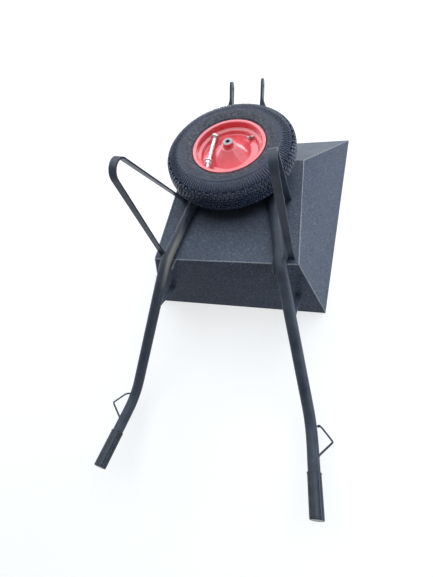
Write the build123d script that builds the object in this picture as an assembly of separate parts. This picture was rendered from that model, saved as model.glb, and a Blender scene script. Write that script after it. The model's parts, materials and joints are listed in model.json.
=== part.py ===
"""Wheelbarrow turned upside down on its tray rim, with its wheel taken off and laid on the frame.

Frame: +Y runs from the grips to the fork, +Z is up from the floor that the tray rim stands on,
and X is across. All lengths are millimetres.
"""
from build123d import *
import math
import os

os.makedirs("parts", exist_ok=True)

# ---------------------------------------------------------------- driving dimensions
# tray: an open sheet box, here with its bottom panel on top and its rim on the floor
sheet = 2.0
tray_depth = 291.0
bottom_length = 381.5
bottom_half_rear = 211.0
bottom_half_front = 200.0
rim_half_rear = 300.0
rim_half_front = 367.5
rear_wall_flare = 12.5
front_wall_run = 420.0

# handle tubes: one bent tube each side, from the flattened fork end to the grip
tube_radius = 15.875
tube_wall = 2.0
handle_end = (292.8, -581.0, 116.5)
handle_dip = (271.6, -374.9, 58.0)
handle_bend_half = 166.7
handle_bend_overhang = 21.3
fork_bend_half = 67.0
fork_bend_y = 509.0
dip_bend_radius = 110.0
tray_bend_radius = 68.0
fork_bend_radius = 60.0
fork_rise_angle = 37.5
fork_reach = 163.0
fork_gap_clearance = 1.0
fork_flat_length = 62.0
fork_taper_length = 45.0
fork_flat_thickness = 7.2
fork_taper_step = 0.25
axle_hole_radius = 6.75
axle_hole_setback = 23.0

# grips: rubber sleeves with a closed end
grip_length = 97.0
grip_wall = 1.9
grip_cap = 4.0
grip_cap_round = 2.4
grip_lip_width = 4.0
grip_lip_height = 0.8
grip_flute_count = 14
grip_flute_depth = 0.9
grip_flute_width = 2.6

# legs: one flat bar each side, bent over into a V and welded to the tray by both ends
leg_bar_width = 17.0
leg_bar_thickness = 4.6
leg_crown_radius = 26.6
leg_rear_foot = (190.6, 17.2)
leg_front_foot = (166.4, 223.6)
leg_apex = (159.6, -13.8)
leg_apex_height = 455.0
leg_foot_trim = 0.1

# braces: flat bars from the rear wall back to the handle tubes
brace_width = 19.0
brace_thickness = 4.8
brace_wall_half = 212.0
brace_wall_height = 116.0
brace_tube_y = -136.0
brace_end_trim = 0.05

# rope hooks: bent rods on the outer side of the tubes near the grips
hook_rod_radius = 2.5
hook_bend_radius = 4.0
hook_front_y = -375.7
hook_rear_y = -461.8
hook_apex_reach = 51.5
hook_apex_rise = 19.0
hook_apex_y = -409.2
hook_wrap_depth = 2.0

# wheel: pneumatic tyre on a pressed two-piece rim
wheel_x = -16.0
wheel_y = 337.0
wheel_gap = 0.35
tyre_radius = 199.5
tyre_half_width = 47.3
tyre_crown_drop = 4.0
tyre_shoulder_radius = 184.0
tyre_side_wall = 7.0
tyre_tread_wall = 12.0
tyre_shoulder_height = 36.9
tyre_tread_half_width = 26.5
tyre_shoulder_follow = 0.4
tyre_lip_gap = 1.0
bead_heel_chamfer = 2.6
tyre_bead_height = 9.0
bead_overcut = 5.0
tread_groove_width = 6.0
tread_groove_depth = 5.0
tread_groove_offset = 9.5
tread_slot_count = 48
tread_slot_width = 3.4
tread_slot_depth = 4.0
tread_slot_reach = 3.0
tread_slot_headroom = 6.0
bead_gap = 0.1
lip_recess_gap = 0.6
rim_sheet = 1.6
lip_turn_depth = 2.4
lip_turn_radius = 1.6
rim_flange_radius = 111.5
rim_half_width = 36.0
bead_seat_radius = 101.6
bead_seat_depth = 21.0
rim_ledge_radius = 91.0
rim_ledge_drop = 4.0
rim_neck_width = 7.0
rim_half_gap = 0.05
rim_floor_outer = 86.5
rim_floor_inner = 65.0
rim_dome_rise = 32.0
rim_bend_radii = [3.0, 2.5, 3.0, 3.0, 8.0, 4.0]
inner_tube_wall = 2.0
inner_tube_gap = 0.4

# hub: steel barrel with a ball bearing pressed into each end
hub_length = 96.0
barrel_radius = 16.3
bearing_radius = 14.288
bearing_width = 7.94
bearing_proud = 0.6
hub_bore_radius = 6.42
inner_race_wall = 2.3
outer_race_wall = 2.3
ball_radius = 2.38
ball_count = 8
race_clearance = 0.07
seat_clearance = 0.01
shield_thickness = 0.5
shield_gap = 0.25
shield_inset = 0.3
barrel_chamfer = 0.5

# valve: rubber-based stem through the rim
valve_angle = 46.0
valve_stem_radius = 4.0
valve_hole_clearance = 0.3
valve_length = 20.0
valve_boot_radius = 6.6
valve_cap_radius = 4.9
valve_cap_length = 11.0
valve_cap_end = 2.0
valve_cap_chamfer = 1.5
valve_hole_depth = 20.0
valve_foot_depth = 4.0
valve_boot_share = 0.4
valve_boot_gap = 0.1

# axle bolt: lies loose in the dish of the upper rim half, with its washers and nut on it
bolt_radius = 6.35
bolt_length = 131.0
bolt_head_flats = 19.0
bolt_head_height = 8.0
bolt_chord_offset = 55.5
bolt_head_reach = 61.0
bolt_head_rise = 20.1
bolt_tip_rise = 20.35
bolt_nut_height = 11.0
bolt_thread_showing = 15.0
bolt_end_chamfer = 1.2
washer_radius = 13.5
washer_thickness = 2.4
washer_bore_clearance = 0.35
nut_bore_clearance = 0.05
washer_slack = 0.05

# ---------------------------------------------------------------- shared values
tube_centre_z = tray_depth + tube_radius
tube_top_z = tray_depth + 2 * tube_radius
wheel_mid_z = tube_top_z + wheel_gap + tyre_half_width
fork_half_gap = hub_length / 2 + fork_gap_clearance / 2
fork_plate_x = fork_half_gap + fork_flat_thickness / 2
rise = math.radians(fork_rise_angle)
rise_direction = Vector(0, math.cos(rise), math.sin(rise))
# flattening keeps the tube's outline length, which sets the height of the flat end
fork_flat_height = math.pi * (2 * tube_radius - fork_flat_thickness) / 2 + fork_flat_thickness


def both_sides(right_shape):
    """The right-hand piece and its mirror image across the centre plane."""
    return right_shape, mirror(right_shape, about=Plane.YZ)


def half_space(point, normal, size=3000.0):
    """A large block that fills the side of a plane that its normal points to."""
    plane = Plane(origin=point, z_dir=normal)
    return extrude(plane * Rectangle(size, size), amount=size)


# ---------------------------------------------------------------- tray
def tray_block(inset):
    """Closed body inside the tray's outer faces, drawn in from them by the inset."""
    depth = tray_depth - inset
    top_share = inset / tray_depth
    rear_inset = inset * math.hypot(1, rear_wall_flare / tray_depth)
    front_inset = inset * math.hypot(1, front_wall_run / tray_depth)
    side_inset_rear = inset * math.hypot(1, (rim_half_rear - bottom_half_rear) / tray_depth)
    side_inset_front = inset * math.hypot(1, (rim_half_front - bottom_half_front) / tray_depth)
    top_rear = -rear_wall_flare * top_share + rear_inset
    top_front = bottom_length + front_wall_run * top_share - front_inset
    top_half_rear = bottom_half_rear + (rim_half_rear - bottom_half_rear) * top_share
    top_half_front = bottom_half_front + (rim_half_front - bottom_half_front) * top_share
    top = Polygon(
        (-top_half_rear + side_inset_rear, top_rear),
        (top_half_rear - side_inset_rear, top_rear),
        (top_half_front - side_inset_front, top_front),
        (-top_half_front + side_inset_front, top_front),
        align=None,
    )
    rim = Polygon(
        (-rim_half_rear + side_inset_rear, -rear_wall_flare + rear_inset),
        (rim_half_rear - side_inset_rear, -rear_wall_flare + rear_inset),
        (rim_half_front - side_inset_front, bottom_length + front_wall_run - front_inset),
        (-rim_half_front + side_inset_front, bottom_length + front_wall_run - front_inset),
        align=None,
    )
    return loft([rim, Pos(0, 0, depth) * top], ruled=True)


def tray_panels():
    """Bottom, rear, front, right and left panels, which meet edge to edge without overlap."""
    outside = tray_block(0)
    inside = tray_block(sheet)
    above_bottom = half_space((0, 0, tray_depth - sheet), (0, 0, 1))
    bottom = outside & above_bottom
    walls = outside - above_bottom
    rear_normal = Vector(0, -tray_depth, rear_wall_flare).normalized()
    front_normal = Vector(0, tray_depth, front_wall_run).normalized()
    behind_rear = half_space(Vector(0, -rear_wall_flare, 0) - rear_normal * sheet, rear_normal)
    front_foot = Vector(0, bottom_length + front_wall_run, 0)
    beyond_front = half_space(front_foot - front_normal * sheet, front_normal)
    rear = walls & behind_rear
    front = walls & beyond_front
    sides = walls - behind_rear - beyond_front - inside
    left, right = sides.solids().sort_by(Axis.X)
    return bottom, rear, front, right, left


# ---------------------------------------------------------------- handle tubes
def fork_point(along, x):
    """A point on the rising fork, measured from its bend."""
    return Vector(x, fork_bend_y, tube_centre_z) + rise_direction * along


taper_start = fork_reach - fork_flat_length - fork_taper_length
taper_end = fork_reach - fork_flat_length
taper_share = taper_start / taper_end
taper_start_x = fork_bend_half + (fork_plate_x - fork_bend_half) * taper_share
axle_hole_point = fork_point(fork_reach - axle_hole_setback, fork_plate_x)


def handle_route():
    """Centre line of the round part of the right tube, from the grip end to the fork taper."""
    return FilletPolyline(
        Vector(*handle_end),
        Vector(*handle_dip),
        Vector(handle_bend_half, -handle_bend_overhang, tube_centre_z),
        Vector(fork_bend_half, fork_bend_y, tube_centre_z),
        fork_point(taper_start, taper_start_x),
        radius=[dip_bend_radius, tray_bend_radius, fork_bend_radius],
    )


def stadium(plane, length, width):
    """Round-ended slot outline, long along the plane's x."""
    return plane * SlotCenterToCenter(length - width, width)


def round_run(radius):
    """Solid bar of the given radius along the round part of the right tube."""
    route = handle_route()
    start = Plane(origin=route @ 0, z_dir=route % 0)
    return sweep(start * Circle(radius), path=route)


def handle_tube():
    """Right tube: hollow bent run, tapered stretch and flattened drilled end."""
    route = handle_route()
    run = round_run(tube_radius)
    bore = round_run(tube_radius - tube_wall)
    across_flat = Vector(0, -math.sin(rise), math.cos(rise))
    end_direction = route % 1
    round_end_up = across_flat - end_direction * across_flat.dot(end_direction)
    round_end = Plane(origin=route @ 1, x_dir=round_end_up, z_dir=end_direction)
    flat_start = Plane(
        origin=fork_point(taper_end, fork_plate_x), x_dir=across_flat, z_dir=rise_direction
    )
    taper_round = 2 * (tube_radius - fork_taper_step)
    taper = loft(
        [
            stadium(round_end, taper_round + fork_taper_step, taper_round),
            stadium(flat_start, fork_flat_height, fork_flat_thickness),
        ],
        ruled=True,
    )
    flat = extrude(
        stadium(flat_start, fork_flat_height, fork_flat_thickness), amount=fork_flat_length
    )
    # the end of the flat is rounded off about the middle of its height
    tip_radius = fork_flat_height / 2
    tip_centre = fork_point(fork_reach - tip_radius, fork_plate_x)
    tip_plane = Plane(origin=tip_centre, x_dir=rise_direction, z_dir=(1, 0, 0))
    tip_square = tip_plane * (Pos(tip_radius / 2, 0) * Rectangle(tip_radius, 2 * tip_radius))
    tip_round = tip_plane * Circle(tip_radius)
    tip_waste = extrude(tip_square - tip_round, amount=fork_flat_thickness, both=True)
    hole_plane = Plane(origin=axle_hole_point, z_dir=(1, 0, 0))
    hole = extrude(hole_plane * Circle(axle_hole_radius), amount=fork_flat_thickness, both=True)
    return (run - bore) + taper + (flat - tip_waste - hole)


# ---------------------------------------------------------------- grips
def grip():
    """Right grip: rubber sleeve with long flutes, a lip at its front and a closed end."""
    upright = (Align.CENTER, Align.CENTER, Align.MIN)
    inner = tube_radius + seat_clearance
    outer = tube_radius + grip_wall
    sleeve = Pos(0, 0, -grip_cap) * Cylinder(outer, grip_length + grip_cap, align=upright)
    sleeve = fillet(sleeve.faces().sort_by(Axis.Z)[0].edges(), grip_cap_round)
    flute_length = grip_length - 2 * grip_lip_width
    flute = Pos(outer, 0, grip_lip_width) * Box(
        2 * grip_flute_depth, grip_flute_width, flute_length, align=upright
    )
    for number in range(grip_flute_count):
        sleeve -= Rot(0, 0, 360 / grip_flute_count * number) * flute
    lip = Pos(0, 0, grip_length - grip_lip_width) * Cylinder(
        outer + grip_lip_height, grip_lip_width, align=upright
    )
    lip = chamfer(lip.edges().filter_by(GeomType.CIRCLE), grip_lip_height / 2)
    body = sleeve + lip - Cylinder(inner, grip_length, align=upright)
    route = handle_route()
    return Plane(origin=route @ 0, z_dir=route % 0) * body


# ---------------------------------------------------------------- legs
def leg():
    """Right leg: flat bar bent over at its crown, feet cut level to stand on the tray bottom."""
    rear = Vector(*leg_rear_foot, tray_depth)
    front = Vector(*leg_front_foot, tray_depth)
    apex = Vector(*leg_apex, tray_depth + leg_apex_height)
    route = FilletPolyline(
        rear + (rear - apex) * leg_foot_trim,
        apex,
        front + (front - apex) * leg_foot_trim,
        radius=leg_crown_radius,
    )
    side_normal = (front - rear).cross(apex - rear).normalized()
    section = Plane(origin=route @ 0, x_dir=side_normal, z_dir=route % 0)
    bar = sweep(section * Rectangle(leg_bar_width, leg_bar_thickness), path=route)
    return bar & half_space((0, 0, tray_depth), (0, 0, 1))


# ---------------------------------------------------------------- braces
def tube_point_at(y):
    """Point on the straight run of the right tube between the tray bend and the dip."""
    top = Vector(handle_bend_half, -handle_bend_overhang, tube_centre_z)
    low = Vector(*handle_dip)
    return top + (low - top) * ((y - top.Y) / (low.Y - top.Y))


def brace():
    """Right brace: flat bar coped to the tube at one end and to the rear wall at the other."""
    at_tube = tube_point_at(brace_tube_y)
    wall_y = -rear_wall_flare * (1 - brace_wall_height / tray_depth)
    at_wall = Vector(brace_wall_half, wall_y, brace_wall_height)
    run = at_tube - at_wall
    section = Plane(origin=at_wall - run * brace_end_trim, x_dir=(1, 0, 0), z_dir=run)
    bar = extrude(section * Rectangle(brace_width, brace_thickness), amount=run.length * (1 + brace_end_trim))
    outside_wall = half_space(
        Vector(0, -rear_wall_flare, 0), Vector(0, -tray_depth, rear_wall_flare).normalized()
    )
    coped = (bar & outside_wall) - round_run(tube_radius)
    return coped.solids().sort_by(SortBy.VOLUME)[-1]


# ---------------------------------------------------------------- rope hooks
def handle_point_at(y):
    """Point on the straight run of the right tube between the dip and the grip end."""
    low = Vector(*handle_dip)
    end = Vector(*handle_end)
    return low + (end - low) * ((y - low.Y) / (end.Y - low.Y))


def rope_hook():
    """Right hook: rod wrapped over the tube at its front, bent out to a point and back to the tube."""
    over = tube_radius + hook_rod_radius
    along = (Vector(*handle_end) - Vector(*handle_dip)).normalized()
    upward = (Vector(0, 0, 1) - along * along.Z).normalized()
    inward = upward.cross(along)
    front_axis = handle_point_at(hook_front_y)
    rear_axis = handle_point_at(hook_rear_y)
    apex_axis = handle_point_at(hook_apex_y)
    apex = apex_axis + Vector(hook_apex_reach, 0, hook_apex_rise)
    inner_corner = front_axis + inward * over + upward * over
    route = FilletPolyline(
        inner_corner - upward * (over + hook_wrap_depth),
        inner_corner,
        apex,
        rear_axis,
        radius=[over, hook_bend_radius],
    )
    section = Plane(origin=route @ 0, z_dir=route % 0)
    rod = sweep(section * Circle(hook_rod_radius), path=route)
    return (rod - round_run(tube_radius)).solids().sort_by(SortBy.VOLUME)[-1]


# ---------------------------------------------------------------- wheel, built about its own centre
def turned(outline):
    """Solid of revolution about Z from an outline of (radius, height) points and arcs."""
    return revolve(Plane.XZ * outline, axis=Axis.Z)


def rim_sheet_line():
    """Middle line of the upper rim half's sheet, from the flange lip in to the hub."""
    half = rim_sheet / 2
    flange_z = rim_half_width - half
    floor_z = half + rim_half_gap
    seat = bead_seat_radius - half
    seat_low = rim_half_width - bead_seat_depth
    lip = rim_flange_radius - half
    dome_z = floor_z + rim_dome_rise
    collar = barrel_radius + seat_clearance
    points = [
        (lip, flange_z - lip_turn_depth),
        (lip, flange_z),
        (seat, flange_z),
        (seat, seat_low),
        (rim_ledge_radius, seat_low - rim_ledge_drop),
        (rim_floor_outer, floor_z),
        (rim_floor_inner, floor_z),
        (collar + rim_neck_width, dome_z),
        (collar, dome_z),
    ]
    return FilletPolyline(*points, radius=[lip_turn_radius] + rim_bend_radii)


def rim_upper():
    """Upper rim half: flange, bead seat, ledge, flat floor and domed disc, with the valve hole."""
    disc = turned(trace(rim_sheet_line(), rim_sheet))
    return disc - valve_plane * Cylinder(
        valve_stem_radius + valve_hole_clearance, valve_hole_depth
    )


def rim_lower():
    """Lower rim half: the same pressing turned over, without a valve hole."""
    return mirror(turned(trace(rim_sheet_line(), rim_sheet)), about=Plane.XY)


# the valve stands square to the sloping wall between the ledge and the floor
ledge_z = rim_half_width - bead_seat_depth - rim_ledge_drop
wall_run = Vector(rim_ledge_radius - rim_floor_outer, 0, ledge_z - rim_sheet / 2)
valve_root = Vector(rim_floor_outer, 0, rim_sheet / 2) + wall_run * 0.5
valve_direction = Vector(-wall_run.Z, 0, wall_run.X).normalized()
valve_plane = Plane(
    origin=valve_root.rotate(Axis.Z, valve_angle), z_dir=valve_direction.rotate(Axis.Z, valve_angle)
)


def valve_stem():
    """Stem with its rubber boot inside the dish and its foot behind the rim sheet."""
    upright = (Align.CENTER, Align.CENTER, Align.MIN)
    stem = Pos(0, 0, -valve_foot_depth) * Cylinder(
        valve_stem_radius, valve_length + valve_foot_depth, align=upright
    )
    boot = Pos(0, 0, rim_sheet / 2 + valve_boot_gap) * Cone(
        valve_boot_radius, valve_stem_radius, valve_length * valve_boot_share, align=upright
    )
    seated = valve_plane * (stem + boot) - rim_upper()
    return seated.solids().sort_by(SortBy.VOLUME)[-1]


def valve_cap():
    """Cap over the end of the stem."""
    upright = (Align.CENTER, Align.CENTER, Align.MIN)
    body = Cylinder(valve_cap_radius, valve_cap_length, align=upright)
    body = chamfer(body.faces().sort_by(Axis.Z)[-1].edges(), valve_cap_chamfer)
    body -= Cylinder(valve_stem_radius + seat_clearance, valve_cap_length - valve_cap_end, align=upright)
    reach = valve_length - (valve_cap_length - valve_cap_end)
    return valve_plane * (Pos(0, 0, reach) * body)


def tyre_shell_outline(inset_side, inset_crown, bead_z, bead_radius):
    """Closed outline of the tyre's section, shrunk by the insets, symmetric about the middle."""
    heel = bead_heel_chamfer
    side = tyre_half_width - inset_side
    crown = tyre_radius - inset_crown
    belly = (tyre_shoulder_radius + rim_flange_radius) / 2
    slimness = side / tyre_half_width
    shoulder_radius = tyre_shoulder_radius - inset_crown * tyre_shoulder_follow
    shoulder = (shoulder_radius, tyre_shoulder_height * slimness)
    edge = (crown - tyre_crown_drop, tyre_tread_half_width * slimness)
    lip = (rim_flange_radius + tyre_lip_gap + inset_side, bead_z)
    edges = [
        Line((bead_radius, bead_z - heel), (bead_radius + heel, bead_z)),
        Line((bead_radius + heel, bead_z), lip),
        ThreePointArc(lip, (belly, side), shoulder),
        Line(shoulder, edge),
        ThreePointArc(edge, (crown, 0), (edge[0], -edge[1])),
        Line((edge[0], -edge[1]), (shoulder[0], -shoulder[1])),
        ThreePointArc((shoulder[0], -shoulder[1]), (belly, -side), (lip[0], -lip[1])),
        Line((lip[0], -lip[1]), (bead_radius + heel, -bead_z)),
        Line((bead_radius + heel, -bead_z), (bead_radius, -bead_z + heel)),
        Line((bead_radius, -bead_z + heel), (bead_radius, bead_z - heel)),
    ]
    return make_face(edges)


def slot_cutter(*outline):
    """Prism as wide as a tread slot over an outline of (radius, height) points."""
    section = Plane.XZ * Polygon(*outline, align=None)
    return extrude(section, amount=tread_slot_width / 2, both=True)


def tread_slots():
    """Cutters for the slots: from each groove out over its shoulder, and staggered across the middle."""
    floor = tyre_radius - tread_slot_depth
    above = tyre_radius + tread_slot_headroom
    side_end = tyre_shoulder_height + tread_slot_reach
    upper = slot_cutter(
        (above, tread_groove_offset),
        (floor, tread_groove_offset),
        (floor - tyre_crown_drop, tyre_tread_half_width),
        (tyre_shoulder_radius - tread_slot_depth, tyre_shoulder_height),
        (tyre_shoulder_radius, side_end),
        (above, side_end),
    )
    lower = mirror(upper, about=Plane.XY)
    middle = slot_cutter(
        (above, -tread_groove_offset),
        (floor, -tread_groove_offset),
        (floor, tread_groove_offset),
        (above, tread_groove_offset),
    )
    step = 360 / tread_slot_count
    cutters = []
    for number in range(tread_slot_count):
        cutters += [Rot(0, 0, step * number) * shape for shape in (upper, lower)]
        cutters.append(Rot(0, 0, step * (number + 0.5)) * middle)
    return cutters


def tyre():
    """Tyre: hollow carcass open between its beads, its tread cut into blocks by grooves and slots."""
    bead_z = rim_half_width - rim_sheet - bead_gap
    bead_radius = bead_seat_radius + bead_gap
    carcass = turned(tyre_shell_outline(0, 0, bead_z, bead_radius))
    lip_recess = Cylinder(rim_flange_radius + lip_recess_gap, 2 * bead_z) - Cylinder(
        rim_flange_radius - lip_turn_radius - rim_sheet, 2 * bead_z
    )
    lip_recess -= Cylinder(tyre_radius, 2 * (rim_half_width - lip_turn_depth - rim_sheet))
    cavity = turned(
        tyre_shell_outline(
            tyre_side_wall, tyre_tread_wall, bead_z - tyre_bead_height, bead_radius - bead_overcut
        )
    )
    body = carcass - cavity - lip_recess
    for height in (-1, 1):
        groove = Pos(0, 0, height * tread_groove_offset) * Cylinder(
            tyre_radius + tread_groove_depth, tread_groove_width
        )
        groove -= Cylinder(tyre_radius - tread_groove_depth, tyre_half_width)
        body -= groove
    return body - tread_slots()


def inner_tube():
    """Air tube that fills the tyre's cavity."""
    gap = inner_tube_gap
    bead_z = rim_half_width - rim_sheet - bead_gap - tyre_bead_height
    bead_radius = bead_seat_radius + bead_gap
    outside = turned(
        tyre_shell_outline(tyre_side_wall + gap, tyre_tread_wall + gap, bead_z - gap, bead_radius)
    )
    wall = inner_tube_wall + gap
    inside = turned(
        tyre_shell_outline(
            tyre_side_wall + wall, tyre_tread_wall + wall, bead_z - wall, bead_radius + wall
        )
    )
    return outside - inside


# ---------------------------------------------------------------- hub
def hub_barrel():
    """Steel tube through both rim halves, bored for a bearing at each end."""
    length = hub_length - 2 * bearing_proud
    seat_radius = bearing_radius + seat_clearance
    barrel = Cylinder(barrel_radius, length) - Cylinder(seat_radius, length)
    return chamfer(barrel.edges().filter_by(GeomType.CIRCLE).group_by(Axis.Z)[-1], barrel_chamfer)


ball_pitch_radius = (hub_bore_radius + inner_race_wall + bearing_radius - outer_race_wall) / 2
bearing_mid_z = hub_length / 2 - bearing_width / 2


def race(inner_radius, outer_radius):
    """Bearing ring with its ball groove."""
    ring = Cylinder(outer_radius, bearing_width) - Cylinder(inner_radius, bearing_width)
    return ring - Torus(ball_pitch_radius, ball_radius + race_clearance)


def bearing_at(side):
    """Inner ring, outer ring, balls and shields of one bearing; side is 1 above, -1 below."""
    place = Pos(0, 0, side * bearing_mid_z)
    inner = place * race(hub_bore_radius, hub_bore_radius + inner_race_wall)
    outer = place * race(bearing_radius - outer_race_wall, bearing_radius)
    ball = Pos(ball_pitch_radius, 0) * Sphere(ball_radius)
    balls = [place * (Rot(0, 0, 360 / ball_count * number) * ball) for number in range(ball_count)]
    shield_inner = hub_bore_radius + inner_race_wall + shield_gap
    shield_outer = bearing_radius - outer_race_wall
    shield = Cylinder(shield_outer, shield_thickness) - Cylinder(shield_inner, shield_thickness)
    shield_z = bearing_width / 2 - shield_thickness / 2 - shield_inset
    shields = [place * (Pos(0, 0, end * shield_z) * shield) for end in (-1, 1)]
    return inner, outer, Compound(balls), Compound(shields)


def axle_spacer():
    """Tube between the two inner rings."""
    length = hub_length - 2 * bearing_width
    return Cylinder(hub_bore_radius + inner_race_wall, length) - Cylinder(hub_bore_radius, length)


# ---------------------------------------------------------------- axle bolt
# its axis lies along a chord of the rim dish, held up on the ledge below the bead seat
def bolt_frame():
    """Plane at the underside of the bolt head, with its z along the shank."""
    reach = bolt_head_reach - bolt_head_height
    slope = (bolt_head_rise - bolt_tip_rise) / bolt_length
    return Plane(
        origin=(-bolt_chord_offset, reach, bolt_head_rise), x_dir=(1, 0, 0), z_dir=(0, -1, -slope)
    )


def hexagon(flats):
    """Hexagon outline given by the distance across its flats, flat side down."""
    return RegularPolygon(flats / 2, 6, major_radius=False)


def bolt():
    """Hex bolt."""
    shank = extrude(Circle(bolt_radius), amount=bolt_length)
    shank = chamfer(shank.faces().sort_by(Axis.Z)[-1].edges(), bolt_end_chamfer)
    head = extrude(hexagon(bolt_head_flats), amount=-bolt_head_height)
    return bolt_frame() * (shank + head)


def washer_at(distance):
    """Flat washer around the shank, its near face at a distance from the head."""
    ring = Circle(washer_radius) - Circle(bolt_radius + washer_bore_clearance)
    return bolt_frame() * (Pos(0, 0, distance) * extrude(ring, amount=washer_thickness))


def nut_at(distance):
    """Hex nut around the shank, its near face at a distance from the head."""
    outline = hexagon(bolt_head_flats) - Circle(bolt_radius + nut_bore_clearance)
    body = extrude(outline, amount=bolt_nut_height)
    return bolt_frame() * (Pos(0, 0, distance) * body)


# ---------------------------------------------------------------- assembly
tray_bottom, tray_rear_wall, tray_front_wall, tray_right_wall, tray_left_wall = tray_panels()
right_tube, left_tube = both_sides(handle_tube())
right_grip, left_grip = both_sides(grip())
right_leg, left_leg = both_sides(leg())
right_brace, left_brace = both_sides(brace())
right_hook, left_hook = both_sides(rope_hook())

barrow = {
    "tray_bottom": tray_bottom,
    "tray_rear_wall": tray_rear_wall,
    "tray_front_wall": tray_front_wall,
    "tray_right_wall": tray_right_wall,
    "tray_left_wall": tray_left_wall,
    "right_handle_tube": right_tube,
    "left_handle_tube": left_tube,
    "right_grip": right_grip,
    "left_grip": left_grip,
    "right_leg": right_leg,
    "left_leg": left_leg,
    "right_brace": right_brace,
    "left_brace": left_brace,
    "right_rope_hook": right_hook,
    "left_rope_hook": left_hook,
}

upper_inner, upper_outer, upper_balls, upper_shields = bearing_at(1)
lower_inner, lower_outer, lower_balls, lower_shields = bearing_at(-1)
nut_distance = bolt_length - bolt_thread_showing - bolt_nut_height

wheel = {
    "tyre": tyre(),
    "inner_tube": inner_tube(),
    "rim_upper_half": rim_upper(),
    "rim_lower_half": rim_lower(),
    "hub_barrel": hub_barrel(),
    "upper_bearing_outer_ring": upper_outer,
    "lower_bearing_outer_ring": lower_outer,
    "upper_bearing_balls": upper_balls,
    "lower_bearing_balls": lower_balls,
    "upper_bearing_shields": upper_shields,
    "lower_bearing_shields": lower_shields,
    "upper_bearing_inner_ring": upper_inner,
    "lower_bearing_inner_ring": lower_inner,
    "axle_spacer": axle_spacer(),
    "valve_stem": valve_stem(),
    "valve_cap": valve_cap(),
    "axle_bolt": bolt(),
    "axle_head_washer": washer_at(washer_slack),
    "axle_nut_washer": washer_at(nut_distance - washer_thickness - washer_slack),
    "axle_nut": nut_at(nut_distance),
}

wheel_place = Pos(wheel_x, wheel_y, wheel_mid_z)
pieces = dict(barrow)
for name, shape in wheel.items():
    pieces[name] = wheel_place * shape

# the origin sits on the floor under the middle of the whole object's box
box = Compound(list(pieces.values())).bounding_box()
middle = Pos(0, -(box.min.Y + box.max.Y) / 2, 0)
for name, shape in pieces.items():
    export_step(middle * shape, f"parts/{name}.step")
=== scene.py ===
"""Looks of the upside-down wheelbarrow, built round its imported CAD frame. Lengths are metres."""
import bpy
import json
import math
import random
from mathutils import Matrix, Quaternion, Vector


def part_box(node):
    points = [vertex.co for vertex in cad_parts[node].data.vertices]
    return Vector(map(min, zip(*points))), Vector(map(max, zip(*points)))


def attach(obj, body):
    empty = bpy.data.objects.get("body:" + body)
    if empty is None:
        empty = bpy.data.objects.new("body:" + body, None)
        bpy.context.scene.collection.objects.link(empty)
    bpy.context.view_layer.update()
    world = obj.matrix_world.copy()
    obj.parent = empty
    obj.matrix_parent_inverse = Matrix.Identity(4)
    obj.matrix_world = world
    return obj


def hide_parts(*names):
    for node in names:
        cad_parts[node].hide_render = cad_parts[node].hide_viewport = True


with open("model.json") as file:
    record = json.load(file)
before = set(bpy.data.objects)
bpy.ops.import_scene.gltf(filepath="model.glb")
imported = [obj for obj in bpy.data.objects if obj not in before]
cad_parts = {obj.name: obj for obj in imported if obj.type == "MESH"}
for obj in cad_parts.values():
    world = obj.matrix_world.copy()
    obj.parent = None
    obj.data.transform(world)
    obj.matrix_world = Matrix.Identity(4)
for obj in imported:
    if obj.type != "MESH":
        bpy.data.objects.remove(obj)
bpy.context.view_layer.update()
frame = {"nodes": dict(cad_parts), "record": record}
NODES = frame["nodes"]

# ---------------------------------------------------------------- places from the frame
TYRE_LOW, TYRE_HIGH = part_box("tyre")
TYRE_CENTRE = (TYRE_LOW + TYRE_HIGH) / 2
TYRE_RADIUS = (TYRE_HIGH.x - TYRE_LOW.x) / 2
TYRE_HALF = (TYRE_HIGH.z - TYRE_LOW.z) / 2
RIM_RADIUS = (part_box("rim_upper_half")[1].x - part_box("rim_upper_half")[0].x) / 2
SHOULDER_RADIUS = TYRE_RADIUS - 0.0155
TREAD_EDGE_RADIUS = TYRE_RADIUS - 0.004
BEAD_RADIUS = min(
    math.hypot(v.co.x - TYRE_CENTRE.x, v.co.y - TYRE_CENTRE.y) for v in NODES["tyre"].data.vertices
)
TRAY_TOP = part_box("tray_bottom")[1].z
# top of the left tube, just outside the tyre: a tan patch there is partly paint rubbed through to steel and
# partly a painted highlight of the light from the right
TAN_RUB_AND_HIGHLIGHT_PLACE = min(
    (
        v.co for v in NODES["left_handle_tube"].data.vertices
        if v.co.z > TRAY_TOP + 0.02 and v.co.y < TYRE_CENTRE.y
    ),
    key=lambda co: abs(math.hypot(co.x - TYRE_CENTRE.x, co.y - TYRE_CENTRE.y) - TYRE_RADIUS - 0.005),
).copy()

# ---------------------------------------------------------------- viewing angle and light
CAMERA_PLACE = Vector((0.2405, -0.5699, 1.0803))
CAMERA_AZIMUTH = math.radians(33.73)
CAMERA_ELEVATION = math.radians(60.02)
CAMERA_ROLL = math.radians(-26.33)
CAMERA_LENS = 20.61
CAMERA_SHIFT = (0.0061, -0.0012)
WORLD_LIGHT = 0.12
WORLD_TINT = (0.86, 0.93, 1.0, 1)
WHITE = (1, 1, 1, 1)
FLOOR_HALF = 15.0
FLOOR_GREY = (0.42, 0.42, 0.42, 1)
# own white of the floor as it is seen: this much up to the near distance, full from the far one
FLOOR_LIFT = 0.66
FLOOR_NEAR = 1.5
FLOOR_FAR = 5.0

# ---------------------------------------------------------------- sizes of the added detail
SEAM_RADIUS = 0.0021
FOOT_BEAD_RADIUS = 0.0028
BRACE_BEAD_RADIUS = 0.0022
TUBE_BEAD_RADIUS = 0.0030
TUBE_BEAD_LENGTH = 0.045
TUBE_BEAD_OFFSET = 0.0085
HUB_BEAD_RADIUS = 0.0016
HOOK_BEAD_RADIUS = 0.0013
BEAD_STEP = 0.0011
BEAD_RIPPLE = 0.0046
BEAD_SIDES = 8
HUB_BEAD_STEPS = 60
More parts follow.
